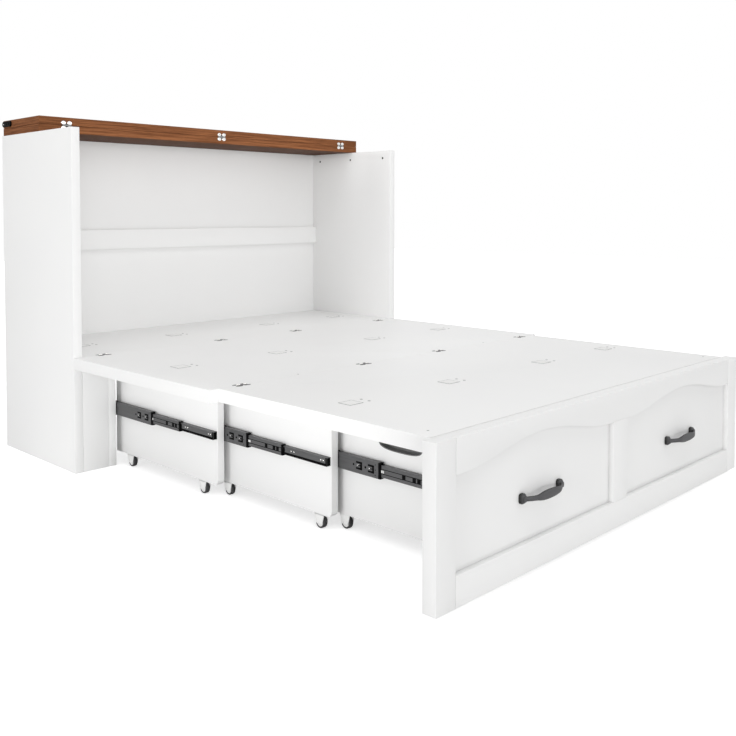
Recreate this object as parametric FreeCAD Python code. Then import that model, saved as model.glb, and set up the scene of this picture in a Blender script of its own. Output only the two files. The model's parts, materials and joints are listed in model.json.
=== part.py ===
import math
import os
import FreeCAD
import Part

os.makedirs("parts", exist_ok=True)
V = FreeCAD.Vector

# Cabinet carcass
CAB_W = 1594.0
CAB_D = 537.0
SIDE_H = 1173.0
SIDE_T = 30.0
BACK_T = 12.0
RAIL_T = 18.0
RAIL_Z0 = 737.0
RAIL_H = 79.0
STILE_T = 20.0
WALL_T = 29.0
TOP_T = 28.0
TOP_D = 292.0
TOP_INSET = 6.0
LID_T = 27.5
LID_GAP = 1.0

# Bed platform in three leaves
PLAT_Z = 395.0
PLAT_T = 38.0
FOLD_RISE = 1.0
SEAM = 0.6
MID_L = 774.0
FOOT_GAP = 0.8
FOOT_BEVEL = 26.0
FOOT_INSET = 32.0

# Telescoping base, sections numbered from the cabinet outwards
SEC_T = 24.0
SEC_GAP = 23.0
SEC_X = 178.0
SEC_Z0 = 42.0
SEC_TOP_GAP = 1.0
SEC_FRONT = (565.0, 1026.0, 1546.0)
SEC_REAR = (-36.0, 450.0, 996.0)
CROSS_T = 18.0
CORNER_R = 18.0

# Ball bearing runners, half heights of the four nested members
RUN_Z = 200.0
RUN_T = 1.5
RUN_HALF = (24.0, 22.0, 16.0, 12.0)
RUN_U0 = (0.0, 2.5, 5.0, 8.0)
RUN_U1 = (14.0, 16.0, 18.0, SEC_GAP)
RACE = (1.5, 5.5, 3.5, 1.5)
RUN_LEN = (470.0, 420.0, 400.0, 390.0)
RUN_END = ((-6.0, 220.0, 380.0, 562.0), (558.0, 672.0, 832.0, 1022.0), (1019.0, 1178.0, 1335.0, 1540.0))
TAB_L = 22.0
TAB_H = 21.0
TAB_SLOT = 4.2
TAB_AT = (16.0, 61.0)
CATCH_L = 10.0
CATCH_H = 9.0
CATCH_AT = (11.0, 27.0, 63.0)
GROOVE_Z = 5.5
GROOVE_W = 1.4
GROOVE_D = 0.7

# Casters
WHEEL_R = 18.0
WHEEL_W = 16.0
AXLE_R = 3.0
AXLE_CLEAR = 0.3
AXLE_SIDES = 12
TREAD_BEVEL = 2.4
FORK_T = 2.4
FORK_TOP = 34.0
FORK_END_R = 14.5
WHEEL_SIDES = 24
WHEEL_F = ((52.0, 480.0), (549.0, 972.0), (1027.0, 1472.0))

# Foot panel with two arched fields
FOOT_T = 40.0
FRAME_T = 15.0
FOOT_Z0 = 14.0
FOOT_SIDE = 3.0
POST_W = 67.0
CENTRE_W = 76.0
BOTTOM_RAIL_H = 74.0
SHOULDER_Z = 312.0
ARCH_RISE = 40.0
ARCH_SHOULDER = 110.0
JOINT = 0.6
PULL_REACH = 33.0
PULL_HALF = 82.0
PULL_Z = 195.5
PULL_FOOT = 25.0
PULL_SHIFT = 6.5
PULL_T = 8.0
PULL_NECK = 11.0
PULL_LEAF = 24.0

# Four-petal flap hinges
PETAL_A = 12.2
PETAL_B = 7.2
PETAL_X = 13.9
PETAL_Y = 9.4
LID_PETAL_A = 9.4
LID_PETAL_B = 6.6
LID_PETAL_X = 11.6
LID_PETAL_Y = 9.0
PETAL_SIDES = 12
LEAF_DEPTH = 5.0
KNUCKLE_R = 2.6
KNUCKLE_HALF = 5.0
KNUCKLE_SIDES = 8
PIN_R = 1.0
PIN_SIDES = 6
FIT = 0.3
HINGE_END = 110.0
HINGE_MID = 190.0

# Small fittings
PAD_END = 134.0
PAD_MID = 264.0
PAD_PLACE = 0.482
PAD_W = 49.0
PAD_L = 46.0
PAD_T = 0.7
GRIP_L = 156.0
GRIP_H = 48.0
GRIP_BACK = 308.5
GRIP_DROP = 79.0
GRIP_WALL = 2.5
GRIP_POWER = 0.667
GRIP_POINTS = 28
BOLT_BACK = 62.0
BOLT_FRONT = 48.0
BOLT_DROP = 34.0
BOLT_R = 5.0
BOLT_SIDES = 12
PORT_BACK = 36.0
PORT_L = 70.0
PORT_H = 21.0
PORT_PROUD = 6.0
PORT_DEEP = 9.0
PORT_SIDES = 8

# Derived positions. f runs forward from the cabinet's front plane, x from its left face.
XC = CAB_W / 2
PANEL_F = SEC_FRONT[2]
FACE_F = PANEL_F + FOOT_T
REACH_F = FACE_F - FRAME_T + PULL_REACH
YF = (REACH_F - CAB_D) / 2
UNDER = PLAT_Z - PLAT_T
FOLD_Z = PLAT_Z + FOLD_RISE
STACK_F = TOP_D - CAB_D
SEAM_Z = SIDE_H + TOP_T + LID_GAP / 2
WALL_IN = SEC_X - SEC_GAP
SEC_IN = [SEC_X + i * (SEC_T + SEC_GAP) for i in range(3)]
HINGE_X = (HINGE_END, XC - HINGE_MID, XC + HINGE_MID, CAB_W - HINGE_END)
LID_HINGE_X = (HINGE_END, XC, CAB_W - HINGE_END)
PAD_X = (PAD_END, XC - PAD_MID, XC + PAD_MID - PAD_W, CAB_W - PAD_END - PAD_W)
BOLT_F = (BOLT_BACK - CAB_D, (BOLT_BACK - CAB_D - BOLT_FRONT) / 2, -BOLT_FRONT)
BOLT_Z = SIDE_H - BOLT_DROP
PORT_F = PORT_BACK - CAB_D
TIP_F = PANEL_F - FOOT_GAP


def slab(x0, x1, f0, f1, z0, z1):
    return Part.makeBox(x1 - x0, f1 - f0, z1 - z0, V(x0 - XC, YF - f1, z0))


def flip(shape):
    return shape.mirror(V(0, 0, 0), V(1, 0, 0))


def both(shape):
    return Part.makeCompound([shape, flip(shape)])


def save(name, shape):
    shape.exportStep("parts/" + name + ".step")


def at(shape, x, f, z, turn=0.0, axis=V(0, 0, 1)):
    out = shape.copy()
    out.rotate(V(0, 0, 0), axis, turn)
    out.translate(V(x - XC, YF - f, z))
    return out


def side_profile(points, x0, x1):
    # closed outline in the f-z plane, pushed along x; an entry of three values is an arc's middle
    edges = []
    start = points[0]
    here = start
    i = 1
    while i < len(points):
        if len(points[i]) == 3:
            end = points[(i + 1) % len(points)]
            a = V(x0 - XC, YF - here[0], here[1])
            b = V(x0 - XC, YF - points[i][0], points[i][1])
            c = V(x0 - XC, YF - end[0], end[1])
            edges.append(Part.Arc(a, b, c).toShape())
            i += 1
            here = end
        else:
            end = points[i]
            a = V(x0 - XC, YF - here[0], here[1])
            c = V(x0 - XC, YF - end[0], end[1])
            edges.append(Part.LineSegment(a, c).toShape())
            here = end
        i += 1
    if here != start:
        a = V(x0 - XC, YF - here[0], here[1])
        c = V(x0 - XC, YF - start[0], start[1])
        edges.append(Part.LineSegment(a, c).toShape())
    return Part.Face(Part.Wire(edges)).extrude(V(x1 - x0, 0, 0))


def rod(r, sides, x0, x1):
    # many-sided rod on local X
    turns = [2 * math.pi * (k + 0.5) / sides for k in range(sides)]
    ring = [V(x0, r * math.cos(t), r * math.sin(t)) for t in turns]
    return Part.Face(Part.makePolygon(ring + [ring[0]])).extrude(V(x1 - x0, 0, 0))


# Flap hinge leaf, drawn with its axis on local X and the board's face FOLD_RISE below the axis
def petal(sizes, grow, top, depth):
    a = sizes[0] + grow
    b = sizes[1] + grow
    turns = [2 * math.pi * k / PETAL_SIDES for k in range(PETAL_SIDES)]
    ring = [V(a * math.cos(t), b * math.sin(t), 0) for t in turns]
    body = Part.Face(Part.makePolygon(ring + [ring[0]])).extrude(V(0, 0, depth))
    body.translate(V(0, sizes[3], top - depth))
    left = body.copy()
    left.translate(V(-sizes[2], 0, 0))
    body.translate(V(sizes[2], 0, 0))
    return left.fuse(body)


def leaf(sizes, centre):
    # the centre leaf carries one bored knuckle, the other leaf two knuckles and the pin
    top = -FOLD_RISE
    bar_half = sizes[2] + 6.0
    outer = sizes[2] + 5.0
    inner = KNUCKLE_HALF + 2 * FIT
    body = petal(sizes, 0.0, top, LEAF_DEPTH)
    bar = Part.makeBox(2 * bar_half, 4.0, LEAF_DEPTH - 1.0, V(-bar_half, KNUCKLE_R + 0.6, top - LEAF_DEPTH))
    body = body.fuse(bar)
    spans = [(-outer, -inner), (inner, outer)]
    others = [(-inner, inner)]
    if centre:
        spans = [(-KNUCKLE_HALF, KNUCKLE_HALF)]
        others = [(-outer - FIT, -KNUCKLE_HALF), (KNUCKLE_HALF, outer + FIT)]
    for a, b in others:
        body = body.cut(rod(KNUCKLE_R + 0.6, KNUCKLE_SIDES, a, b))
    for a, b in spans:
        web = Part.makeBox(b - a, KNUCKLE_R + 1.6, 1.3, V(a, 0, top - 1.6))
        body = body.fuse(web).fuse(rod(KNUCKLE_R, KNUCKLE_SIDES, a, b))
    if centre:
        bore = (PIN_R + FIT) / math.cos(math.pi / PIN_SIDES)
        body = body.cut(rod(bore, PIN_SIDES, -inner, inner))
    else:
        body = body.fuse(rod(PIN_R, PIN_SIDES, -inner, inner))
    return body.removeSplitter()


def pocket(sizes):
    half = sizes[2] + 6.0 + FIT
    deep = LEAF_DEPTH + FIT
    body = petal(sizes, FIT, 0.0, FOLD_RISE + deep)
    return body.fuse(Part.makeBox(2 * half, 7.2, FOLD_RISE + deep, V(-half, 0, -FOLD_RISE - deep))).removeSplitter()


BED_SIZES = (PETAL_A, PETAL_B, PETAL_X, PETAL_Y)
LID_SIZES = (LID_PETAL_A, LID_PETAL_B, LID_PETAL_X, LID_PETAL_Y)
LEAF_MID = leaf(BED_SIZES, True)
LEAF_END = leaf(BED_SIZES, False)
POCKET = pocket(BED_SIZES)
LID_LEAF_MID = leaf(LID_SIZES, True)
LID_LEAF_END = leaf(LID_SIZES, False)
LID_POCKET = pocket(LID_SIZES)


def hinge_row(shape, f, z, toward_front, xs):
    turn = 180.0 if toward_front else 0.0
    return [at(shape, x, f, z, turn) for x in xs]


def lid_row(shape, upper):
    # the same hinge stood up on the stack's front edge
    stood = shape.copy()
    stood.rotate(V(0, 0, 0), V(1, 0, 0), 90)
    if not upper:
        stood.rotate(V(0, 0, 0), V(0, 1, 0), 180)
    return [at(stood, x, STACK_F + FOLD_RISE, SEAM_Z) for x in LID_HINGE_X]


def cut_all(shape, tools):
    return shape.cut(Part.makeCompound(tools))


# Cabinet side panels, with blind holes for the bolt caps
side = slab(0, SIDE_T, -CAB_D, 0, 0, SIDE_H)
caps = []
for f in BOLT_F:
    side = side.cut(at(rod(BOLT_R + FIT, BOLT_SIDES, -4.0, 1.0), SIDE_T, f, BOLT_Z))
    caps.append(at(rod(BOLT_R, BOLT_SIDES, -4.0, -0.5), SIDE_T, f, BOLT_Z))
save("side_panel_left", side)
save("side_panel_right", flip(side))
save("bolt_caps", both(Part.makeCompound(caps)))

# Back, its rail, and the rear boards
save("back_panel", slab(SIDE_T, CAB_W - SIDE_T, -CAB_D, BACK_T - CAB_D, UNDER, SIDE_H))
rail_f = BACK_T - CAB_D
rail = slab(SIDE_T, CAB_W - SIDE_T, rail_f, rail_f + RAIL_T, RAIL_Z0, RAIL_Z0 + RAIL_H)
save("back_rail", rail)
stile = slab(SIDE_T + JOINT, WALL_IN - WALL_T - JOINT, -STILE_T, 0, 0, UNDER)
save("front_stile_left", stile)
save("front_stile_right", flip(stile))
wall = slab(WALL_IN - WALL_T, WALL_IN, -CAB_D + BACK_T, 0, 0, UNDER)
save("base_wall_left", wall)
save("base_wall_right", flip(wall))

# Rear platform leaf, fixed between the sides
row_a_rear = hinge_row(POCKET, 0, FOLD_Z, False, HINGE_X)
rear = slab(SIDE_T, CAB_W - SIDE_T, BACK_T - CAB_D, -SEAM, UNDER, PLAT_Z)
save("rear_platform", cut_all(rear, row_a_rear))

# Fixed half of the top stack and the cabinet's own hinge leaves
top = slab(TOP_INSET, CAB_W - TOP_INSET, -CAB_D, STACK_F, SIDE_H, SIDE_H + TOP_T)
top = cut_all(top, lid_row(LID_POCKET, False))
save("top_board", top)
fixed_leaves = hinge_row(LEAF_MID, 0, FOLD_Z, False, HINGE_X) + lid_row(LID_LEAF_MID, False)
save("cabinet_hinge_leaves", Part.makeCompound(fixed_leaves))

# Folding lid, its leaves, and the oval socket module in its left end
lid_z = SIDE_H + TOP_T + LID_GAP
lid = slab(TOP_INSET, CAB_W - TOP_INSET, -CAB_D, STACK_F, lid_z, lid_z + LID_T)
lid = cut_all(lid, lid_row(LID_POCKET, True))
port_z = lid_z + LID_T / 2


def oval(length, height, x0, x1, f, z):
    # long outline with many-sided round ends
    r = height / 2
    a = length / 2 - r
    turns = [math.pi * k / PORT_SIDES for k in range(PORT_SIDES + 1)]
    front = [(f + a + r * math.sin(t), z - r * math.cos(t)) for t in turns]
    return side_profile(front + [(2 * f - p, 2 * z - q) for p, q in front], x0, x1)


q = PORT_L / 2 - PORT_H / 2
w = PORT_H / 2 - 3.0
lid = lid.cut(slab(TOP_INSET - 1, TOP_INSET + PORT_DEEP, PORT_F - q, PORT_F + q, port_z - w, port_z + w))
save("lid_board", lid)
save("lid_hinge_leaves", Part.makeCompound(lid_row(LID_LEAF_END, True)))
port = oval(PORT_L, PORT_H, TOP_INSET - PORT_PROUD, TOP_INSET, PORT_F, port_z)
q -= FIT
w -= FIT
plug = slab(TOP_INSET, TOP_INSET + PORT_DEEP - FIT, PORT_F - q, PORT_F + q, port_z - w, port_z + w)
well = oval(PORT_L - 14, PORT_H - 10, TOP_INSET - PORT_PROUD - 1, TOP_INSET - PORT_PROUD + 2.5, PORT_F, port_z)
save("socket_module", port.fuse(plug).cut(well).removeSplitter())


# Thin square pads that keep the mattress from slipping
def pads(f0, f1):
    f = f0 + PAD_PLACE * (f1 - f0)
    z = PLAT_Z
    return Part.makeCompound([slab(x, x + PAD_W, f, f + PAD_L, z, z + PAD_T) for x in PAD_X])


save("mattress_pads_rear", pads(BACK_T - CAB_D, 0))
save("mattress_pads_middle", pads(0, MID_L))
save("mattress_pads_foot", pads(MID_L, TIP_F))

# Middle platform leaf, the door of the closed cabinet
mid = slab(0, CAB_W, SEAM, MID_L - SEAM, UNDER, PLAT_Z)
mid = cut_all(mid, hinge_row(POCKET, 0, FOLD_Z, True, HINGE_X))
mid = cut_all(mid, hinge_row(POCKET, MID_L, FOLD_Z, False, HINGE_X))
save("middle_platform", mid)
save("middle_rear_leaves", Part.makeCompound(hinge_row(LEAF_END, 0, FOLD_Z, True, HINGE_X)))
save("middle_front_leaves", Part.makeCompound(hinge_row(LEAF_MID, MID_L, FOLD_Z, False, HINGE_X)))

# Foot platform leaf, undercut where the foot panel passes below it
outline = [(MID_L + SEAM, UNDER), (TIP_F - FOOT_BEVEL, UNDER), (TIP_F, PLAT_Z), (MID_L + SEAM, PLAT_Z)]
foot = side_profile(outline, FOOT_INSET, CAB_W - FOOT_INSET)
foot = cut_all(foot, hinge_row(POCKET, MID_L, FOLD_Z, True, HINGE_X))
save("foot_platform", foot)
save("foot_leaves", Part.makeCompound(hinge_row(LEAF_END, MID_L, FOLD_Z, True, HINGE_X)))


# Runner members: a folded channel with its ball races along both edges
def runner(outer_x, level, end):
    half = RUN_HALF[level]
    u0 = outer_x + RUN_U0[level]
    u1 = outer_x + RUN_U1[level]
    f0 = end - RUN_LEN[level]
    race = RACE[level]
    body = slab(u0, u0 + RUN_T, f0, end, RUN_Z - half, RUN_Z + half)
    body = body.fuse(slab(u0, u1, f0, end, RUN_Z + half - race, RUN_Z + half))
    body = body.fuse(slab(u0, u1, f0, end, RUN_Z - half, RUN_Z - half + race))
    body = body.removeSplitter()
    if level == 1:
        # tongues that lock the balls' cage, each freed by a slot on three sides
        for k in TAB_AT:
            q = TAB_H / 2
            tab = slab(u0 - 1, u0 + RUN_T + 1, end - k - TAB_L, end - k, RUN_Z - q, RUN_Z + q)
            q -= TAB_SLOT
            tongue = slab(u0 - 2, u0 + RUN_T + 2, end - k - TAB_L - 1, end - k - TAB_SLOT, RUN_Z - q, RUN_Z + q)
            body = body.cut(tab.cut(tongue))
    if level == 2:
        # catches for the release lever, and two pressed grooves along the web
        q = CATCH_H / 2
        for k in CATCH_AT:
            body = body.cut(slab(u0 - 1, u0 + RUN_T + 1, end - k - CATCH_L, end - k, RUN_Z - q, RUN_Z + q))
        for z in (RUN_Z - GROOVE_Z - GROOVE_W, RUN_Z + GROOVE_Z):
            body = body.cut(slab(u0 - 1, u0 + GROOVE_D, f0 - 1, end + 1, z, z + GROOVE_W))
    return body


outer_x = [WALL_IN, SEC_IN[0] + SEC_T, SEC_IN[1] + SEC_T]
fixed = [both(runner(outer_x[i], 0, RUN_END[i][0])) for i in range(3)]
inner = [both(runner(outer_x[i], 3, RUN_END[i][3])) for i in range(3)]
save("runner_outer_cabinet", fixed[0])
save("runners_section_1", Part.makeCompound([inner[0], fixed[1]]))
save("runners_section_2", Part.makeCompound([inner[1], fixed[2]]))
save("runner_inner_section_3", inner[2])
for i in range(3):
    save("runner_wide_%d" % (i + 1), both(runner(outer_x[i], 1, RUN_END[i][1])))
    save("runner_middle_%d" % (i + 1), both(runner(outer_x[i], 2, RUN_END[i][2])))


# Casters
def fork(x, f):
    z = WHEEL_R
    half = FORK_TOP / 2
    r = FORK_END_R
    low = z - r
    outline = [(f - half, SEC_Z0), (f - half, SEC_Z0 - 7), (f - r, z), (f - r * 0.7, z - r * 0.7), (f, low),
               (f + r * 0.7, z - r * 0.7), (f + r, z), (f + half, SEC_Z0 - 7), (f + half, SEC_Z0)]
    inside = WHEEL_W / 2 + 0.5
    body = side_profile(outline, x - inside - FORK_T, x - inside)
    body = body.fuse(side_profile(outline, x + inside, x + inside + FORK_T))
    body = body.fuse(slab(x - inside - FORK_T, x + inside + FORK_T, f - half, f + half, SEC_Z0 - 2.5, SEC_Z0))
    half_axle = inside + FORK_T
    return body.fuse(at(rod(AXLE_R, AXLE_SIDES, -half_axle, half_axle), x, f, z)).removeSplitter()


def wheel(x, f):
    # tread with bevelled shoulders and a bore for the axle
    w = WHEEL_W / 2
    c = TREAD_BEVEL
    rings = []
    for u, r in ((-w, WHEEL_R - c), (c - w, WHEEL_R), (w - c, WHEEL_R), (w, WHEEL_R - c)):
        turns = [2 * math.pi * k / WHEEL_SIDES for k in range(WHEEL_SIDES)]
        ring = [V(u, r * math.cos(t), r * math.sin(t)) for t in turns]
        rings.append(Part.makePolygon(ring + [ring[0]]))
    bore = (AXLE_R + AXLE_CLEAR) / math.cos(math.pi / AXLE_SIDES)
    body = Part.makeLoft(rings, True, True).cut(rod(bore, AXLE_SIDES, -w - 1, w + 1))
    return at(body, x, f, WHEEL_R)


# Outline of the finger grip: a flattened oval between an ellipse and a rectangle
def grip(length, height, x0, x1):
    f = PANEL_F - GRIP_BACK
    z = UNDER - GRIP_DROP
    pts = []
    for k in range(GRIP_POINTS):
        t = 2 * math.pi * k / GRIP_POINTS
        c = math.cos(t)
        n = math.sin(t)
        u = math.copysign(abs(c) ** GRIP_POWER, c) * length / 2
        v = math.copysign(abs(n) ** GRIP_POWER, n) * height / 2
        pts.append(V(x0 - XC, YF - f - u, z + v))
    return Part.Face(Part.makePolygon(pts + [pts[0]])).extrude(V(x1 - x0, 0, 0))


# Three sections of the base
for i in range(3):
    name = "section_%d" % (i + 1)
    x0 = SEC_IN[i]
    x1 = x0 + SEC_T
    f0 = SEC_REAR[i]
    f1 = SEC_FRONT[i]
    zt = UNDER - SEC_TOP_GAP
    zb = SEC_Z0
    r = CORNER_R
    k = r * (1 - 0.5 ** 0.5)
    panel = [(f0, zb), (f1 - r, zb), (f1 - k, zb + k, 0), (f1, zb + r), (f1, zt), (f0, zt)]
    if i == 2:
        panel = [(f0, zb), (f1, zb), (f1, zt), (f0, zt)]
    board = side_profile(panel, x0, x1)
    if i == 2:
        board = board.cut(grip(GRIP_L, GRIP_H, x0 - 1, x1 + 1))
        cup = grip(GRIP_L - 2 * FIT, GRIP_H - 2 * FIT, x0, x1)
        cup = cup.cut(grip(GRIP_L - 2 * GRIP_WALL, GRIP_H - 2 * GRIP_WALL, x0 - 1, x1 - GRIP_WALL))
        save("grip_cups", both(cup))
    save(name + "_left", board)
    save(name + "_right", flip(board))
    save(name + "_cross_rail", slab(x1, CAB_W - x1, f0, f0 + CROSS_T, SEC_Z0 + 20, zt - 20))
    mid_x = (x0 + x1) / 2
    save(name + "_forks", both(Part.makeCompound([fork(mid_x, f) for f in WHEEL_F[i]])))
    save(name + "_rear_wheels", both(wheel(mid_x, WHEEL_F[i][0])))
    save(name + "_front_wheels", both(wheel(mid_x, WHEEL_F[i][1])))

# Foot panel: posts over the full height, rails and a centre stile over a backing board
p0 = FOOT_SIDE
p1 = p0 + POST_W
q1 = CAB_W - p1
rail_f = FACE_F - FRAME_T
low_z = FOOT_Z0 + BOTTOM_RAIL_H
post = slab(p0, p1, PANEL_F, FACE_F, FOOT_Z0, PLAT_Z)
save("foot_post_left", post)
save("foot_post_right", flip(post))
save("foot_backing", slab(p1, q1, PANEL_F, rail_f, FOOT_Z0, PLAT_Z))
j1 = p1 + JOINT
k1 = q1 - JOINT
save("foot_bottom_rail", slab(j1, k1, rail_f, FACE_F, FOOT_Z0, low_z))
c0 = (CAB_W - CENTRE_W) / 2
save("foot_centre_stile", slab(c0, c0 + CENTRE_W, rail_f, FACE_F, low_z, SHOULDER_Z))


def arch(x0, x1):
    # shoulder, reverse curve, crown and back again, as one spline between two straight shoulders
    y = YF - FACE_F - 1
    m = (x0 + x1) / 2
    s = ARCH_SHOULDER
    top_z = SHOULDER_Z + ARCH_RISE
    left = V(x0 - XC, y, SHOULDER_Z)
    right = V(x1 - XC, y, SHOULDER_Z)
    q = (m - x0 - s) / 2
    curve = Part.BSplineCurve()
    knots = [V(x0 + s * 0.35 - XC, y, SHOULDER_Z + 0.5), V(x0 + s - XC, y, SHOULDER_Z + ARCH_RISE * 0.2),
             V(x0 + s + q - XC, y, SHOULDER_Z + ARCH_RISE * 0.74), V(m - XC, y, top_z),
             V(x1 - s - q - XC, y, SHOULDER_Z + ARCH_RISE * 0.74), V(x1 - s - XC, y, SHOULDER_Z + ARCH_RISE * 0.2),
             V(x1 - s * 0.35 - XC, y, SHOULDER_Z + 0.5)]
    curve.interpolate([left] + knots + [right])
    low_l = V(x0 - XC, y, SHOULDER_Z - 20)
    low_r = V(x1 - XC, y, SHOULDER_Z - 20)
    edges = [curve.toShape(), Part.LineSegment(right, low_r).toShape(), Part.LineSegment(low_r, low_l).toShape(),
             Part.LineSegment(low_l, left).toShape()]
    return Part.Face(Part.Wire(edges)).extrude(V(0, FRAME_T + 2, 0))


top_rail = slab(j1, k1, rail_f, FACE_F, SHOULDER_Z, PLAT_Z)
top_rail = top_rail.cut(arch(j1, c0)).cut(arch(c0 + CENTRE_W, k1))
save("foot_top_rail", top_rail)


# Bow pulls: flared eight-sided feet, slim necks and a leaf-shaped grip
def eight(x, y, z, wide, tall, plane):
    a = wide / 2
    b = tall / 2
    c = 0.45
    ring = [(-a, -b * c), (-a * c, -b), (a * c, -b), (a, -b * c), (a, b * c), (a * c, b), (-a * c, b), (-a, b * c)]
    pts = [V(x + p, y, z + q) if plane == "xz" else V(x, y + p, z + q) for p, q in ring]
    return Part.makePolygon(pts + [pts[0]])


def pull(xm):
    y0 = YF - rail_f
    x = xm - XC
    z = PULL_Z
    h = PULL_HALF
    d = PULL_REACH - PULL_T / 2
    t = PULL_T
    n = PULL_NECK
    m = PULL_LEAF
    half = [(-1.0, 0.3, t, n), (-0.72, 0.8, t, n), (-0.6, 0.95, t, n * 1.15), (-0.45, 1.0, t, m * 0.78),
            (-0.22, 1.0, t, m * 0.95)]
    spots = half + [(0.0, 1.0, t, m)] + [(-s, r, w, q) for s, r, w, q in reversed(half)]
    rings = [eight(x + s * h, y0 - d * r, z, w, q, "yz") for s, r, w, q in spots]
    body = Part.makeLoft(rings, True, True)
    for side in (-1, 1):
        fx = x + side * h
        w = PULL_FOOT
        foot_rings = [eight(fx, y0, z, w * 0.8, w, "xz"), eight(fx, y0 - d * 0.3, z, w * 0.8, w, "xz"),
                      eight(fx, y0 - d * 0.5, z, w * 0.5, w * 0.56, "xz")]
        body = body.fuse(Part.makeLoft(foot_rings, True, True))
    return body


save("pull_left", pull((p1 + c0) / 2 + PULL_SHIFT))
save("pull_right", pull(CAB_W - (p1 + c0) / 2 + PULL_SHIFT))
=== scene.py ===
import json
import math
import bmesh
import bpy
from mathutils import Matrix, Vector

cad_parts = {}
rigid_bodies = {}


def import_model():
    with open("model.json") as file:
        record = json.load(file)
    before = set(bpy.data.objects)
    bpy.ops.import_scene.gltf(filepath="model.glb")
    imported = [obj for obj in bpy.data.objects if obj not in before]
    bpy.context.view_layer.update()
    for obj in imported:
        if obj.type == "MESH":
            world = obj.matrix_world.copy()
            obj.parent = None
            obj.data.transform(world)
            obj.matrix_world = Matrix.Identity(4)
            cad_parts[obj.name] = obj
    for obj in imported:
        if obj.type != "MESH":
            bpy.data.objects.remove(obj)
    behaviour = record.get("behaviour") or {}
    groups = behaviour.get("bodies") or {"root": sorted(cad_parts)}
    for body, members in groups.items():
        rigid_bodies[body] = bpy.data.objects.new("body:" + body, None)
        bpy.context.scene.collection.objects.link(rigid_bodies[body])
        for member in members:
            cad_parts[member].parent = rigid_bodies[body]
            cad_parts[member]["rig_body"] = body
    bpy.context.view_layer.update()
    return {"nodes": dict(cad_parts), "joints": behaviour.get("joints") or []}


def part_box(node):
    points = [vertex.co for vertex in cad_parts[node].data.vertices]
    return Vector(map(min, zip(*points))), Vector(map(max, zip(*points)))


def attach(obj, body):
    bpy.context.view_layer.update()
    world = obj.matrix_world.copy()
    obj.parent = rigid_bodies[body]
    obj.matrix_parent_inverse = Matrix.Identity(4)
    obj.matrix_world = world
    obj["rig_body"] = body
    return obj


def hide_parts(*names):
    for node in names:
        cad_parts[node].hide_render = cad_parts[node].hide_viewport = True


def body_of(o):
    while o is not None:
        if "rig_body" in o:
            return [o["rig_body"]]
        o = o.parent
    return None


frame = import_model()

nodes = frame["nodes"]

# The carcass, platform and base: boards of medium-density fibreboard, sprayed with white satin lacquer.
# The sheets are screwed and cammed together, and their long edges are eased before they are sprayed.


def linear(code):
    parts = [int(code[i:i + 2], 16) / 255 for i in (1, 3, 5)]
    return tuple(c / 12.92 if c <= 0.04045 else ((c + 0.055) / 1.055) ** 2.4 for c in parts) + (1.0,)


def put(tree, kind, settings, links):
    # adds a node, with its settings by name or socket number, and its links
    node = tree.nodes.new(kind)
    for name, value in settings.items():
        if isinstance(name, str) and hasattr(node, name):
            setattr(node, name, value)
        else:
            node.inputs[name].default_value = value
    for name, socket in links.items():
        tree.links.new(socket, node.inputs[name])
    return node


def blank_finish(name):
    material = bpy.data.materials.new(name)
    material.use_nodes = True
    material.node_tree.nodes.clear()
    return material, material.node_tree


def mottled_finish(name, grain, detail, dark, light):
    # the start of a finish whose colour drifts between two tones, in patches as large as the grain, in mm
    material, tree = blank_finish(name)
    place = put(tree, "ShaderNodeTexCoord", {}, {})
    patches = put(tree, "ShaderNodeTexNoise", {"Scale": 1000 / grain, "Detail": detail},
                  {"Vector": place.outputs["Object"]})
    tone = put(tree, "ShaderNodeMix", {"data_type": "RGBA", 6: linear(dark), 7: linear(light)},
               {0: patches.outputs["Fac"]})
    return material, tree, place, patches, tone


# Sprayed lacquer: even and a little glossy, with a faint orange peel that is drawn at 9 mm so that it shows.
# Its white drifts a little over 420 mm, as it does on a large sprayed sheet.
satin_lacquer, tree, place, _, tone = mottled_finish("satin_white_lacquer", 420, 2.0, "#eeeeee", "#f2f2f1")
peel = put(tree, "ShaderNodeTexNoise", {"Scale": 1000 / 9, "Detail": 1.5},
           {"Vector": place.outputs["Object"]})
gloss = put(tree, "ShaderNodeMapRange", {"To Min": 0.36, "To Max": 0.48}, {"Value": peel.outputs["Fac"]})
skin = put(tree, "ShaderNodeBump", {"Strength": 0.05, "Distance": 0.0004}, {"Height": peel.outputs["Fac"]})
paint = put(tree, "ShaderNodeBsdfPrincipled", {"IOR": 1.49},
            {"Base Color": tone.outputs[2], "Roughness": gloss.outputs["Result"],
             "Normal": skin.outputs["Normal"]})
put(tree, "ShaderNodeOutputMaterial", {}, {"Surface": paint.outputs["BSDF"]})
# The framed panel at the foot end is darkened within 12 mm of its inner corners, as painted shade.
# It shows as a soft line round each field.
framed_lacquer = satin_lacquer.copy()
framed_lacquer.name = "satin_white_lacquer_framed"
tree = framed_lacquer.node_tree
# painted shade: the lacquer's tone is mixed towards black where the inner corners occlude it
corner = put(tree, "ShaderNodeAmbientOcclusion", {"samples": 8, "Distance": 0.012}, {})
corner_shade_amount = put(tree, "ShaderNodeMapRange", {"From Min": 0.4, "To Min": 0.86}, {"Value": corner.outputs["AO"]})
corner_shaded_tone = put(tree, "ShaderNodeMix", {"data_type": "RGBA", 6: linear("#000000")},
                {0: corner_shade_amount.outputs["Result"], 7: tree.nodes[tone.name].outputs[2]})
tree.links.new(corner_shaded_tone.outputs[2], tree.nodes[paint.name].inputs["Base Color"])


def dress(name, material):
    piece = nodes[name]
    piece.data.materials.clear()
    piece.data.materials.append(material)


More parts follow.
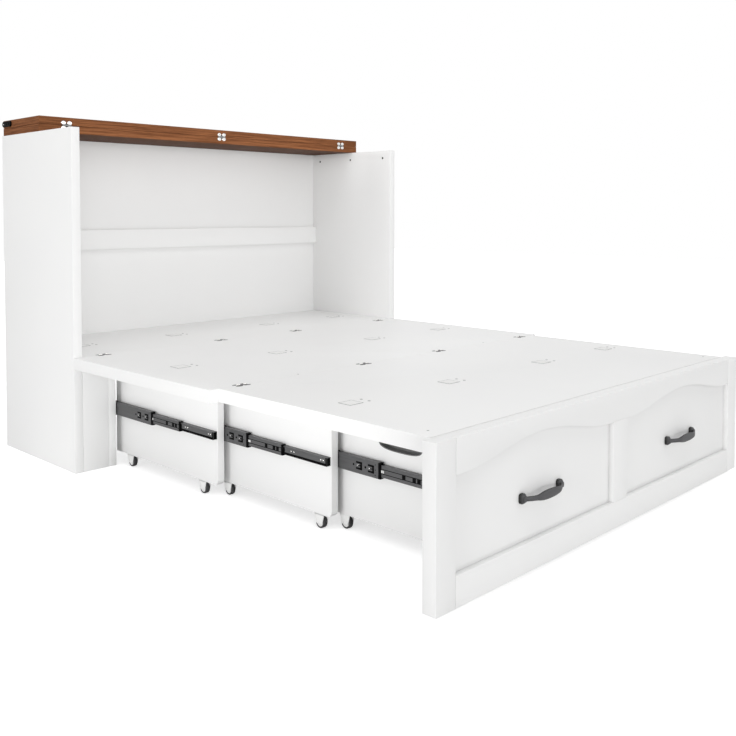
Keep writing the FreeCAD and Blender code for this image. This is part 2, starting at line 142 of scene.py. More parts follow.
def finish_piece(name, whole, finishes, body, stands_for):
    mesh = bpy.data.meshes.new(name)
    whole.to_mesh(mesh)
    whole.free()
    for finish in finishes:
        mesh.materials.append(finish)
    mesh.set_sharp_from_angle(angle=math.radians(35))
    piece = bpy.data.objects.new(name, mesh)
    bpy.context.scene.collection.objects.link(piece)
    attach(piece, body)
    if stands_for:
        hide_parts(stands_for)
    return piece


def round_edges(form, edges, radius, segments):
    bmesh.ops.bevel(form, geom=edges, offset=radius / 1000, segments=segments, profile=0.5,
                    affect="EDGES", material=-1)


def ease_board(name, finish, radius, shortest):
    # a copy of a board, with each edge that is long enough rounded; both sizes in mm
    # it takes the corners alone, because the stored normals would not follow the new edges
    dress(name, finish)
    board = bmesh.new()
    spots = [board.verts.new(corner.co) for corner in nodes[name].data.vertices]
    for triangle in nodes[name].data.polygons:
        board.faces.new([spots[k] for k in triangle.vertices])
    bmesh.ops.remove_doubles(board, verts=board.verts, dist=1e-6)
    bmesh.ops.dissolve_limit(board, angle_limit=math.radians(0.5), verts=board.verts, edges=board.edges)
    rims = [e for e in board.edges if e.is_convex and e.calc_face_angle(0) > 1.0]
    round_edges(board, [e for e in rims if e.calc_length() > shortest / 1000], radius, 3)
    finish_piece("eased_" + name, board, [finish], body_of(nodes[name])[0], name)


# edges shorter than the pocket's side belong to hinge pockets and holes, which stay crisp
# the arches of the top rail are made of short steps, and those are eased too; sizes in mm
pocket_side = 40
arch_step = 1
lacquer_ease = 0.7
board_nodes = ["side_panel_left", "side_panel_right", "back_panel", "back_rail", "front_stile_left",
               "front_stile_right", "base_wall_left", "base_wall_right", "rear_platform", "middle_platform",
               "foot_platform"]
frame_nodes = ["foot_post_left", "foot_post_right", "foot_backing", "foot_bottom_rail", "foot_centre_stile",
               "foot_top_rail"]
section_nodes = ["section_%d_%s" % (number, part) for number in (1, 2, 3)
                 for part in ("left", "right", "cross_rail")]
for name in board_nodes + frame_nodes + section_nodes:
    finish = framed_lacquer if name in frame_nodes else satin_lacquer
    shortest = arch_step if name == "foot_top_rail" else pocket_side
    ease_board(name, finish, lacquer_ease, shortest)

# The top: two walnut-veneered boards, the upper one a lid that folds forward on flap hinges.
# The veneer is wrapped round the edges with its grain level, under an open-pore satin varnish.
walnut, tree = blank_finish("walnut_veneer_satin_varnish")
place = put(tree, "ShaderNodeTexCoord", {}, {})
facing = put(tree, "ShaderNodeSeparateXYZ", {}, {"Vector": place.outputs["Normal"]})
sideways = put(tree, "ShaderNodeMath", {"operation": "ABSOLUTE"}, {0: facing.outputs["X"]})
is_end = put(tree, "ShaderNodeMath", {"operation": "GREATER_THAN", 1: 0.6}, {0: sideways.outputs[0]})
# the grain's figure and its pores, 34 mm long by 1 mm, are drawn coarse enough to show; sizes in mm
figure_long = 170
figure_wide = 4
lengthwise = (1000 / figure_long, 1000 / figure_wide, 1000 / figure_wide)
endwise = (1000 / figure_wide, 1000 / figure_long, 1000 / figure_wide)
along = put(tree, "ShaderNodeMapping", {"Scale": lengthwise}, {"Vector": place.outputs["Object"]})
round_end = put(tree, "ShaderNodeMapping", {"Scale": endwise}, {"Vector": place.outputs["Object"]})
run = put(tree, "ShaderNodeMix", {"data_type": "VECTOR"},
          {0: is_end.outputs[0], 4: along.outputs["Vector"], 5: round_end.outputs["Vector"]})
figure = put(tree, "ShaderNodeTexNoise", {"Scale": 1.0, "Detail": 5.0, "Roughness": 0.6, "Distortion": 0.35},
             {"Vector": run.outputs[1]})
fine = put(tree, "ShaderNodeVectorMath", {"operation": "MULTIPLY", 1: (5, 4, 4)}, {0: run.outputs[1]})
pores = put(tree, "ShaderNodeTexNoise", {"Scale": 1.0, "Detail": 3.0, "Roughness": 0.7},
            {"Vector": fine.outputs[0]})
tint = put(tree, "ShaderNodeValToRGB", {}, {"Fac": figure.outputs["Fac"]})
ramp = tint.color_ramp
ramp.elements[0].position = 0.30
ramp.elements[0].color = linear("#5b3722")
ramp.elements[1].position = 0.72
ramp.elements[1].color = linear("#9c6743")
middle = ramp.elements.new(0.5)
middle.color = linear("#7f5135")
streak = put(tree, "ShaderNodeMapRange", {"From Min": 0.36, "From Max": 0.47, "To Min": 0.70, "To Max": 1.0},
             {"Value": pores.outputs["Fac"]})
grey = put(tree, "ShaderNodeCombineColor", {},
           {channel: streak.outputs["Result"] for channel in ("Red", "Green", "Blue")})
wood_tone = put(tree, "ShaderNodeMix", {"data_type": "RGBA", "blend_type": "MULTIPLY", 0: 1.0},
                {6: tint.outputs["Color"], 7: grey.outputs["Color"]})
# the fixed board's downward faces are painted a plain dark brown, as painted shade under the top
underside_shade_mask = put(tree, "ShaderNodeMath", {"operation": "LESS_THAN", 1: -0.6}, {0: facing.outputs["Z"]})
share = put(tree, "ShaderNodeMath", {"operation": "MULTIPLY", 1: 0.9}, {0: underside_shade_mask.outputs[0]})
underside_shaded_tone = put(tree, "ShaderNodeMix", {"data_type": "RGBA", 7: linear("#4c3427")},
             {0: share.outputs[0], 6: wood_tone.outputs[2]})
wood_gloss = put(tree, "ShaderNodeMapRange", {"To Min": 0.62, "To Max": 0.42},
                 {"Value": pores.outputs["Fac"]})
open_pore = put(tree, "ShaderNodeBump", {"Strength": 0.25, "Distance": 0.0003},
                {"Height": pores.outputs["Fac"]})
varnish = put(tree, "ShaderNodeBsdfPrincipled", {"IOR": 1.5, "Specular IOR Level": 0.02},
              {"Base Color": underside_shaded_tone.outputs[2], "Roughness": wood_gloss.outputs["Result"],
               "Normal": open_pore.outputs["Normal"]})
put(tree, "ShaderNodeOutputMaterial", {}, {"Surface": varnish.outputs["BSDF"]})
veneer_ease = 0.6
ease_board("top_board", walnut, veneer_ease, pocket_side)
# the lid's copy has no painted shade on its downward faces, because its underside becomes half of the closed
# top
walnut_without_underside_shade = walnut.copy()
walnut_without_underside_shade.name = "walnut_veneer_no_underside_shade"
never = -2.0
walnut_without_underside_shade.node_tree.nodes[underside_shade_mask.name].inputs[1].default_value = never
ease_board("lid_board", walnut_without_underside_shade, veneer_ease, pocket_side)

# Small black mouldings in matt ABS: caps over the cabinet's bolts, and a socket module in the lid's end.
# A spark-eroded mould gives them a fine matt grain, drawn at 1 mm, and the caps have a slight dome.
black_abs, tree, _, spark, tone = mottled_finish("matt_black_abs", 1.0, 2.0, "#050505", "#0d0d0e")
grain = put(tree, "ShaderNodeBump", {"Strength": 0.15, "Distance": 0.0002}, {"Height": spark.outputs["Fac"]})
abs_skin = put(tree, "ShaderNodeBsdfPrincipled", {"Roughness": 0.42, "Specular IOR Level": 0.03},
               {"Base Color": tone.outputs[2], "Normal": grain.outputs["Normal"]})
put(tree, "ShaderNodeOutputMaterial", {}, {"Surface": abs_skin.outputs["BSDF"]})
dress("socket_module", black_abs)
dress("bolt_caps", black_abs)


def box_mm(name):
    return [[round(value * 1000, 3) for value in corner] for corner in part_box(name)]


def mm(x, y, z):
    return Matrix.Translation((x / 1000, y / 1000, z / 1000))


def lathe(outline, steps):
    # a turned form about local Z, from (radius, height) pairs in mm
    form = bmesh.new()
    spots = [form.verts.new((r / 1000, 0, h / 1000)) for r, h in outline]
    lines = [form.edges.new(pair) for pair in zip(spots, spots[1:])]
    bmesh.ops.spin(form, geom=spots + lines, cent=(0, 0, 0), axis=(0, 0, 1), angle=2 * math.pi, steps=steps,
                   use_merge=True)
    bmesh.ops.remove_doubles(form, verts=form.verts, dist=1e-7)
    bmesh.ops.recalc_face_normals(form, faces=form.faces)
    return form


def slab(size, place=Matrix()):
    # a plain block of a size in mm, about its place
    form = bmesh.new()
    bmesh.ops.create_cube(form, size=0.001, matrix=place @ Matrix.Diagonal((*size, 1)))
    return form


def thicken(form, face, step):
    # pulls a flat face out into a solid, and gives back the face that moved
    grown = bmesh.ops.extrude_face_region(form, geom=[face])["geom"]
    bmesh.ops.translate(form, verts=[v for v in grown if isinstance(v, bmesh.types.BMVert)], vec=step)
    return [f for f in grown if isinstance(f, bmesh.types.BMFace)][0]


def add_form(whole, form, place, slot_number):
    # puts a small form into a piece, at its place, with one of the piece's finishes
    form.transform(place)
    for face in form.faces:
        face.material_index = slot_number
        face.smooth = True
    small = bpy.data.meshes.new("form")
    form.to_mesh(small)
    form.free()
    whole.from_mesh(small)
    bpy.data.meshes.remove(small)


# bolt caps: plugs pressed into blind holes near the top of both sides, three in a row
cap_radius = 5
cap_outline = [(0, 0), (4.7, 0), (cap_radius, 0.3), (cap_radius, 2.6), (4.4, 3.2), (3, 3.4), (0, 3.5)]
low, high = box_mm("bolt_caps")
cap_level = (low[2] + high[2]) / 2
whole = bmesh.new()
for y in (low[1] + cap_radius, (low[1] + high[1]) / 2, high[1] - cap_radius):
    for side, x in ((1, low[0]), (-1, high[0])):
        inward = Matrix.Rotation(side * math.pi / 2, 4, "Y")
        add_form(whole, lathe(cap_outline, 24), mm(x, y, cap_level) @ inward, 0)
finish_piece("pressed_bolt_caps", whole, [black_abs], "cabinet", "bolt_caps")


def stadium(length, height, steps):
    # a flat face with round ends, in the X and Y of its own plane, from sizes in mm
    form = bmesh.new()
    r = height / 2000
    a = length / 2000 - r
    turns = [math.pi * k / steps for k in range(steps + 1)]
    spots = [form.verts.new((a + r * math.sin(t), -r * math.cos(t), 0)) for t in turns]
    spots += [form.verts.new((-a - r * math.sin(t), r * math.cos(t), 0)) for t in turns]
    return form, form.faces.new(spots)


# socket module: rounded rim, sunk well, two flat ports and a white pilot light, in mm
low, high = box_mm("socket_module")
lid_left = box_mm("lid_board")[0][0]
rim_round = 1.6
rim_wall = 2.4
well_slope = 0.6
well_depth = 2.2
port_size = (12, 5, 1.2)
port_places = (-12, 6)
port_level = 4.2
port_ease = 0.4
light_place = 26
light_outline = [(0, 3.7), (2.2, 3.7), (2.2, 4.6), (1.6, 5.1), (0, 5.2)]
sunk_body = (48, 14.4, 8.6)
turned = Matrix.Rotation(-math.pi / 2, 4, "Y") @ Matrix.Rotation(math.pi / 2, 4, "Z")
lid_end = mm(lid_left, (low[1] + high[1]) / 2, (low[2] + high[2]) / 2) @ turned
whole = bmesh.new()
form, face = stadium(high[1] - low[1], high[2] - low[2], 12)
front = thicken(form, face, (0, 0, (lid_left - low[0]) / 1000))
round_edges(form, list(front.edges), rim_round, 3)
front = max(form.faces, key=lambda f: f.calc_center_median().z)
bmesh.ops.inset_region(form, faces=[front], thickness=rim_wall / 1000)
bmesh.ops.inset_region(form, faces=[front], thickness=well_slope / 1000, depth=-well_depth / 1000)
bmesh.ops.recalc_face_normals(form, faces=form.faces)
add_form(whole, form, lid_end, 0)
for along_rim in port_places:
    port = slab(port_size)
    round_edges(port, port.edges[:], port_ease, 2)
    add_form(whole, port, lid_end @ mm(along_rim, 0, port_level), 0)
add_form(whole, lathe(light_outline, 20), lid_end @ mm(light_place, 0, 0), 1)
add_form(whole, slab(sunk_body), lid_end @ mm(0, 0, -sunk_body[2] / 2), 0)
# The pilot light: a white polycarbonate lens, milky through its depth.
milky, tree, _, _, tone = mottled_finish("milky_polycarbonate", 2, 1.0, "#eef0f0", "#f6f7f7")
lens_skin = put(tree, "ShaderNodeBsdfPrincipled", {"Roughness": 0.2, "IOR": 1.58},
                {"Base Color": tone.outputs[2]})
put(tree, "ShaderNodeOutputMaterial", {}, {"Surface": lens_skin.outputs["BSDF"]})
finish_piece("moulded_socket_module", whole, [black_abs, milky], "lid", "socket_module")

# Flap hinges: four-petal zinc castings with bright nickel plate, let in flush and screwed.
# The plate is polished, so it mirrors the pale room, with a slight cast ripple 6 mm wide.
nickel, tree = blank_finish("bright_nickel_plate")
place = put(tree, "ShaderNodeTexCoord", {}, {})
ripple = put(tree, "ShaderNodeTexNoise", {"Scale": 1000 / 6, "Detail": 2.0},
             {"Vector": place.outputs["Object"]})
shine = put(tree, "ShaderNodeMapRange", {"To Min": 0.14, "To Max": 0.26}, {"Value": ripple.outputs["Fac"]})
plate = put(tree, "ShaderNodeBsdfPrincipled", {"Base Color": linear("#f4f3f1"), "Metallic": 1.0},
            {"Roughness": shine.outputs["Result"]})
put(tree, "ShaderNodeOutputMaterial", {}, {"Surface": plate.outputs["BSDF"]})
# Satin nickel on the knuckles, brushed grey at 2 mm, so that they stay darker than the boards.
satin_nickel, tree, _, _, tone = mottled_finish("satin_nickel_plate", 2, 2.0, "#8c8c8c", "#a0a09f")
satin_plate = put(tree, "ShaderNodeBsdfPrincipled",
                  {"Metallic": 0.2, "Roughness": 0.7, "Specular IOR Level": 0.2},
                  {"Base Color": tone.outputs[2]})
put(tree, "ShaderNodeOutputMaterial", {}, {"Surface": satin_plate.outputs["BSDF"]})
# The petals on the platform are a duller and darker grey, mottled at 2 mm, as painted shade: a darker copy
# of the bright plate on the lid's petals.
shaded_petal_finish, tree, _, _, tone = mottled_finish("petal_nickel_painted_shade", 2, 2.0, "#808080", "#929291")
petal_shade_skin = put(tree, "ShaderNodeBsdfPrincipled", {"Roughness": 0.9, "Specular IOR Level": 0.02},
                 {"Base Color": tone.outputs[2]})
put(tree, "ShaderNodeOutputMaterial", {}, {"Surface": petal_shade_skin.outputs["BSDF"]})
# The hinge bodies between the petals are near black, so a dark cross shows between the petals, and a raised
# black cross on each screw head is painted shade in its cross recess.
near_black_parts, tree, _, _, tone = mottled_finish("near_black_hinge_parts", 4, 2.0, "#101010", "#1e1e1f")
near_black_skin = put(tree, "ShaderNodeBsdfPrincipled", {"Metallic": 0.3, "Roughness": 0.6},
                 {"Base Color": tone.outputs[2]})
put(tree, "ShaderNodeOutputMaterial", {}, {"Surface": near_black_skin.outputs["BSDF"]})
hinge_finishes = [nickel, near_black_parts, satin_nickel, shaded_petal_finish]
bright, black, satin, shaded_petals = range(4)

# a petal's outline is a share of its half sizes, and mm up; the other sizes are in mm, from the fold axis
petal_outline = [(0, 0), (0.98, 0), (1, 0.3), (1, 4.3), (0.97, 4.75), (0.9, 5.0), (0.75, 5.15), (0, 5.25)]
screw_outline = [(0, 5.0), (2.9, 5.0), (2.9, 5.3), (2.5, 5.45), (1.3, 5.45), (0.9, 5.1), (0, 5.1)]
cross_recess_shade = (3.0, 0.7, 0.3)
cross_level = 5.35
cross_turn = 20
pocket_floor = -6.0
bar_thick = 4.0
bar_out = 5.2
bar_clear = 8
knuckle_radius = 2.5
knuckle_ease = 0.4
knuckle_half = 5.0
knuckle_gap = 0.6
web_out = 4.2
web_thick = 1.3
web_level = -1.95


def hinge_half(whole, fold, sizes, plated, centre):
    # petals with a rounded rim and a countersunk screw each, its cross recess painted as black shade, a sunk
    # bar, and knuckles on the axis
    petal_long, petal_short, aside, out = sizes
    for side in (-1, 1):
        spot = fold @ mm(side * aside, out, pocket_floor)
        stretch = Matrix.Diagonal((petal_long, petal_short, 1, 1))
        add_form(whole, lathe(petal_outline, 32), spot @ stretch, plated)
        add_form(whole, lathe(screw_outline, 20), spot, plated)
        # a black cross standing on the screw head, painted shade in the cross recess
        for turn in (0, 90):
            turned = Matrix.Rotation(math.radians(turn + cross_turn), 4, "Z")
            add_form(whole, slab(cross_recess_shade), spot @ mm(0, 0, cross_level) @ turned, black)
    bar = slab((2 * aside - bar_clear, bar_thick, bar_thick), mm(0, bar_out, -bar_thick))
    add_form(whole, bar, fold, black)
    # the outer knuckles on the platform are bright, and the others are satin, each on a black web
    shaded = centre or plated == bright
    outer = knuckle_half + knuckle_gap
    spans = [(-aside - knuckle_half, -outer), (outer, aside + knuckle_half)]
    for low, high in [(-knuckle_half, knuckle_half)] if centre else spans:
        small = knuckle_radius - knuckle_ease
        roll = lathe([(0, low), (small, low), (knuckle_radius, low + knuckle_ease),
                      (knuckle_radius, high - knuckle_ease), (small, high), (0, high)], 20)
        add_form(whole, roll, fold @ Matrix.Rotation(math.radians(90), 4, "Y"), satin if shaded else bright)
        web = slab((high - low, web_out, web_thick), mm((low + high) / 2, web_out / 2, web_level))
        add_form(whole, web, fold, black if shaded else plated)


def fold_places(joint_name, across):
    # places along a fold axis, x in mm
    joint = next(joint for joint in frame["joints"] if joint["name"] == joint_name)
    return [Matrix.Translation(joint["pos_m"]) @ mm(x, 0, 0) for x in across]


half_turn = Matrix.Rotation(math.pi, 4, "Z")
upright = Matrix.Rotation(math.pi / 2, 4, "X")
hanging = Matrix.Rotation(math.pi, 4, "Y") @ upright
bed_x = (-687, -190, 190, 687)
lid_x = (-687, 0, 687)
bed_sizes = (12.2, 7.2, 13.9, 9.4)
lid_sizes = (9.4, 6.6, 11.6, 9.0)
rear_fold = fold_places("platform_flip", bed_x)
front_fold = fold_places("foot_fold", bed_x)
lid_fold = fold_places("lid_flip", lid_x)
leaf_rows = {
    "cabinet_hinge_leaves": ("cabinet", [(spot, bed_sizes, shaded_petals, True) for spot in rear_fold]
                             + [(spot @ hanging, lid_sizes, bright, True) for spot in lid_fold]),
    "lid_hinge_leaves": ("lid", [(spot @ upright, lid_sizes, bright, False) for spot in lid_fold]),
    "middle_rear_leaves": ("middle_leaf",
                           [(spot @ half_turn, bed_sizes, shaded_petals, False) for spot in rear_fold]),
    "middle_front_leaves": ("middle_leaf", [(spot, bed_sizes, shaded_petals, True) for spot in front_fold]),
    "foot_leaves": ("foot_leaf", [(spot @ half_turn, bed_sizes, shaded_petals, False) for spot in front_fold]),
}
for name, (body, row) in leaf_rows.items():
    dress(name, satin_nickel)
    whole = bmesh.new()
    for half in row:
        hinge_half(whole, *half)
    finish_piece("plated_" + name, whole, hinge_finishes, body, name)

# Runners: folded steel channels with a black zinc finish, sliding on bearing balls.
# The finish is a satin dark grey, wiped in streaks 160 mm long, and darkened within 6 mm of inner corners
# and cut-outs as painted shade.
black_zinc, tree = blank_finish("black_zinc_steel")
place = put(tree, "ShaderNodeTexCoord", {}, {})
pull_lines = put(tree, "ShaderNodeMapping", {"Scale": (1000 / 2, 1000 / 160, 1000 / 2.5)},
                 {"Vector": place.outputs["Object"]})
wiped = put(tree, "ShaderNodeTexNoise", {"Scale": 1.0, "Detail": 3.0},
            {"Vector": pull_lines.outputs["Vector"]})
zinc_tone = put(tree, "ShaderNodeMix", {"data_type": "RGBA", 6: linear("#535354"), 7: linear("#707071")},
                {0: wiped.outputs["Fac"]})
zinc_gloss = put(tree, "ShaderNodeMapRange", {"To Min": 0.34, "To Max": 0.52},
                 {"Value": wiped.outputs["Fac"]})
# painted shade: the grey is mixed towards near black where inner corners and cut-outs occlude it
inner = put(tree, "ShaderNodeAmbientOcclusion", {"samples": 6, "Distance": 0.006}, {})
recess_shade_amount = put(tree, "ShaderNodeMapRange", {"From Min": 0.35, "From Max": 0.85, "To Min": 0.12},
            {"Value": inner.outputs["AO"]})
zinc_with_recess_shade = put(tree, "ShaderNodeMix", {"data_type": "RGBA", 6: linear("#0c0c0d")},
             {0: recess_shade_amount.outputs["Result"], 7: zinc_tone.outputs[2]})
zinc = put(tree, "ShaderNodeBsdfPrincipled", {"Metallic": 0.75},
           {"Base Color": zinc_with_recess_shade.outputs[2], "Roughness": zinc_gloss.outputs["Result"]})
put(tree, "ShaderNodeOutputMaterial", {}, {"Surface": zinc.outputs["BSDF"]})
for name in nodes:
    if name.startswith("runner"):
        dress(name, black_zinc)

# Fittings on the runners: black bumpers, white nylon stops, bright rivets and screws, and dark plates of
# painted shade.
# The fittings are clipped or riveted to each sliding member, and the dark plates are painted shade in and
# behind the punched slots and along the ball tracks.
# The nylon is a dull white from the mould, with a mottle 12 mm wide.
white_nylon, tree, _, _, tone = mottled_finish("moulded_white_nylon", 12, 2.0, "#e9e9e8", "#f1f1f0")
nylon = put(tree, "ShaderNodeBsdfPrincipled", {"Roughness": 0.38, "IOR": 1.53},
            {"Base Color": tone.outputs[2]})
put(tree, "ShaderNodeOutputMaterial", {}, {"Surface": nylon.outputs["BSDF"]})


def block(whole, corner, span_x, span_y, span_z, ease, slot_number):
    # an eased block on both sides of the bed, its spans in mm from a corner of the left one
    spans = (span_x, span_y, span_z)
    x, y, z = (at + sum(span) / 2 for at, span in zip(corner, spans))
    for side in (1, -1):
        form = slab([high - low for low, high in spans])
        round_edges(form, form.edges[:], ease, 2)
        add_form(whole, form, mm(side * x, y, z), slot_number)


def stud(whole, corner, back, rise, radius, height, slot_number):
    # a low dome on the outer face on both sides, back from the corner and above it
    outline = [(0, -0.1), (radius, -0.1), (radius, height * 0.4), (radius * 0.8, height * 0.85),
               (radius * 0.4, height), (0, height)]
    for side in (1, -1):
        outward = Matrix.Rotation(-side * math.pi / 2, 4, "Y")
        spot = mm(side * corner[0], corner[1] + back, corner[2] + rise)
        add_form(whole, lathe(outline, 16), spot @ outward, slot_number)


def front_end(name):
    # the left member's outer face, its front end and its middle height
    low, high = box_mm(name)
    return low[0], low[1], (low[2] + high[2]) / 2


# Spans are in mm from a member's outer face, its front end and its middle height, and are negative in front.
# Dark plates of painted shade in the slots, at the tabs and along the ball tracks stand 0.05 mm proud of the
# steel, and dark backing plates of painted shade lie behind it.
shade_plate_depth = (-0.05, 0.4)
shade_plate_ease = 0.05
backing_shade_depth = (1.55, 1.85)
plate_ease = 0.1
bumper_ease = 0.2
wide_bumper = (-8, -0.1)
wide_half = 21.8
wide_lip = 5
slot_backs = (16, 61)
slot_bars = ((-11.0, -5.6, 22.5), (-1.6, 1.6, 14), (5.6, 11.0, 22.5))
slot_spine = (-0.8, 6.6)
short_stop = ((-12, -8.3),)
long_stops = ((-14.5, -10), (-19.5, -16))
stop_ease = 0.4
pin_back = 11
pin_rises = (14, 0, -14)
middle_bumper = (-6, -0.1)
middle_half = 15.8
middle_lip = 2.8
track_rises = (-7.1, 5.2)
track_tall = 1.9
tab_backs = (11, 27, 63)
narrow_half = 11.9
narrow_shade_depth = (-0.25, 0)
plug_ease = 0.6
screw_backs = (149, 137, 24, 14)
screw_rise = 3
narrow_nodes = ("runners_section_1", "runners_section_2", "runner_inner_section_3")
for number, narrow_node in enumerate(narrow_nodes, 1):
    # wide member: bumper with two lips, a dark backing plate of painted shade, slots drawn as dark plates of
    # painted shade with a stud and a dot each, stops and three pins
    whole = bmesh.new()
    end = front_end("runner_wide_%d" % number)
    block(whole, end, (-0.3, 1.85), wide_bumper, (-wide_half, wide_half), bumper_ease, 0)
    for rise in (-wide_half, wide_half - wide_lip):
        block(whole, end, (1.8, 13.5), wide_bumper, (rise, rise + wide_lip), bumper_ease, 0)
    block(whole, end, backing_shade_depth, (-1, 96), (-12, 12), plate_ease, 0)
    for back in slot_backs:
        for low, high, length in slot_bars:
            block(whole, end, shade_plate_depth, (back - 0.4, back + length), (low, high), shade_plate_ease, 0)
        spine = (back + slot_spine[0], back + slot_spine[1])
        block(whole, end, shade_plate_depth, spine, (-10.6, 10.6), shade_plate_ease, 0)
    for stop in short_stop if number == 1 else long_stops:
        block(whole, end, (0.7, 2.1), stop, (-3.5, 3.5), stop_ease, 1)
    for back in slot_backs:
        stud(whole, end, back + 17, 0, 1.7, 0.5, 2)
        stud(whole, end, back + 32, 0, 3.2, 0.3, 0)
    for rise in pin_rises:
        stud(whole, end, pin_back, rise, 1.5, 0.2, 0)
    finish_piece("runner_wide_%d_fittings" % number, whole, [black_abs, white_nylon, nickel],
                 "runner_wide_%d_pair" % number, None)
    # middle member: bumper with two lips, dark strips of painted shade along two ball tracks and at three
    # tabs, a dark backing plate of painted shade, and a latch in front
    whole = bmesh.new()
    end = front_end("runner_middle_%d" % number)
    block(whole, end, (-0.2, 1.85), middle_bumper, (-middle_half, middle_half), bumper_ease, 0)
    for rise in (-middle_half, middle_half - middle_lip):
        block(whole, end, (1.8, 13), middle_bumper, (rise, rise + middle_lip), bumper_ease, 0)
    for rise in track_rises:
        block(whole, end, shade_plate_depth, (0, 396), (rise, rise + track_tall), shade_plate_ease, 0)
    for back in tab_backs:
        block(whole, end, shade_plate_depth, (back - 1, back + 11), (-5.5, 5.5), shade_plate_ease, 0)
    block(whole, end, backing_shade_depth, (-1, 84), (-7, 7), plate_ease, 0)
    block(whole, end, (1.55, 1.95), (-13, -0.3), (-4, 9), plate_ease, 0)
    finish_piece("runner_middle_%d_fittings" % number, whole, [black_abs], "runner_middle_%d_pair" % number,
                 None)
    # narrow member: a dark band of painted shade along the ball track, another across the hollow end, an end
    # plug and four screws into the panel
    whole = bmesh.new()
    end = front_end(narrow_node)
    block(whole, end, narrow_shade_depth, (0, 388), (-narrow_half, -4.4), plate_ease, 0)
    block(whole, end, narrow_shade_depth, (0, 5), (-narrow_half, narrow_half), plate_ease, 0)
    block(whole, end, (1.6, 14.8), (0.3, 8), (-10.2, 10.2), plug_ease, 0)
    for back in screw_backs:
        stud(whole, end, back, screw_rise, 2.4, 0.8, 1)
    finish_piece("runner_narrow_%d_fittings" % number, whole, [black_abs, nickel], "section_%d" % number,
                 None)

# Finger grips: deep cups let into the sides of the last section, moulded in dark grey ABS.
# The mould's fine grain, drawn at 1 mm, keeps the inside walls dull, so only the lower wall shows light.
grey_abs, tree, _, _, tone = mottled_finish("dark_grey_abs", 1.0, 2.0, "#6c6c6c", "#7b7b7b")
cup_skin = put(tree, "ShaderNodeBsdfPrincipled", {"Roughness": 0.6, "Specular IOR Level": 0.3},
               {"Base Color": tone.outputs[2]})
put(tree, "ShaderNodeOutputMaterial", {}, {"Surface": cup_skin.outputs["BSDF"]})
dress("grip_cups", grey_abs)

# Bow pulls: die-cast zinc with a dark grey powder coat, screwed on from behind.
# The powder leaves a fine sandy skin, drawn at 1.5 mm, and soft broad highlights.
powder, tree, place, grit, tone = mottled_finish("dark_grey_powder_coat", 1.5, 2.0, "#414143", "#505052")
# the flanks, turned away from the front, are darkened as painted shade, and the front keeps the powder's own
# tone
facing = put(tree, "ShaderNodeSeparateXYZ", {}, {"Vector": place.outputs["Normal"]})
flank_shade_mask = put(tree, "ShaderNodeMapRange", {"From Min": -0.85, "From Max": -0.2},
            {"Value": facing.outputs["Y"]})
powder_coat = put(tree, "ShaderNodeMix",
                  {"data_type": "RGBA", "blend_type": "MULTIPLY", 7: linear("#3c3c3c")},
                  {0: flank_shade_mask.outputs["Result"], 6: tone.outputs[2]})
sand = put(tree, "ShaderNodeBump", {"Strength": 0.2, "Distance": 0.0002}, {"Height": grit.outputs["Fac"]})
coat = put(tree, "ShaderNodeBsdfPrincipled", {"Roughness": 0.48, "IOR": 1.5},
           {"Base Color": powder_coat.outputs[2], "Normal": sand.outputs["Normal"]})
put(tree, "ShaderNodeOutputMaterial", {}, {"Surface": coat.outputs["BSDF"]})


def rounded_ring(form, centre, across, wide, tall, power):
    # a closed ring of points between an ellipse and a rectangle, in the upright plane through across
    spots = []
    for k in range(24):
        c = math.cos(2 * math.pi * k / 24)
        n = math.sin(2 * math.pi * k / 24)
        u = math.copysign(abs(c) ** power, c) * wide / 2
        v = math.copysign(abs(n) ** power, n) * tall / 2
        spots.append(form.verts.new(centre + across * (u / 1000) + Vector((0, 0, v / 1000))))
    return [form.edges.new((spots[k], spots[(k + 1) % 24])) for k in range(24)]


def skin_rings(form, rings):
    for low, high in zip(rings, rings[1:]):
        bmesh.ops.bridge_loops(form, edges=low + high)
    for ring in (rings[0], rings[-1]):
        bmesh.ops.contextual_create(form, geom=ring)
    bmesh.ops.recalc_face_normals(form, faces=form.faces)


# each station of the bow is a share of the half length, a share of the reach, and the bar's height in mm
stations = ((1.0, 0.3, 12.6), (0.9, 0.52, 12), (0.8, 0.7, 12), (0.7, 0.84, 12.2), (0.62, 0.93, 13.2),
            (0.54, 0.98, 15.8), (0.45, 1.0, 18.4), (0.34, 1.0, 21.2), (0.2, 1.0, 23.2), (0.0, 1.0, 24))
bow_row = [(-share, reach, tall) for share, reach, tall in stations[:-1]] + list(reversed(stations))
bow_reach = 29
bow_thick = 7.9
bow_round = 0.62
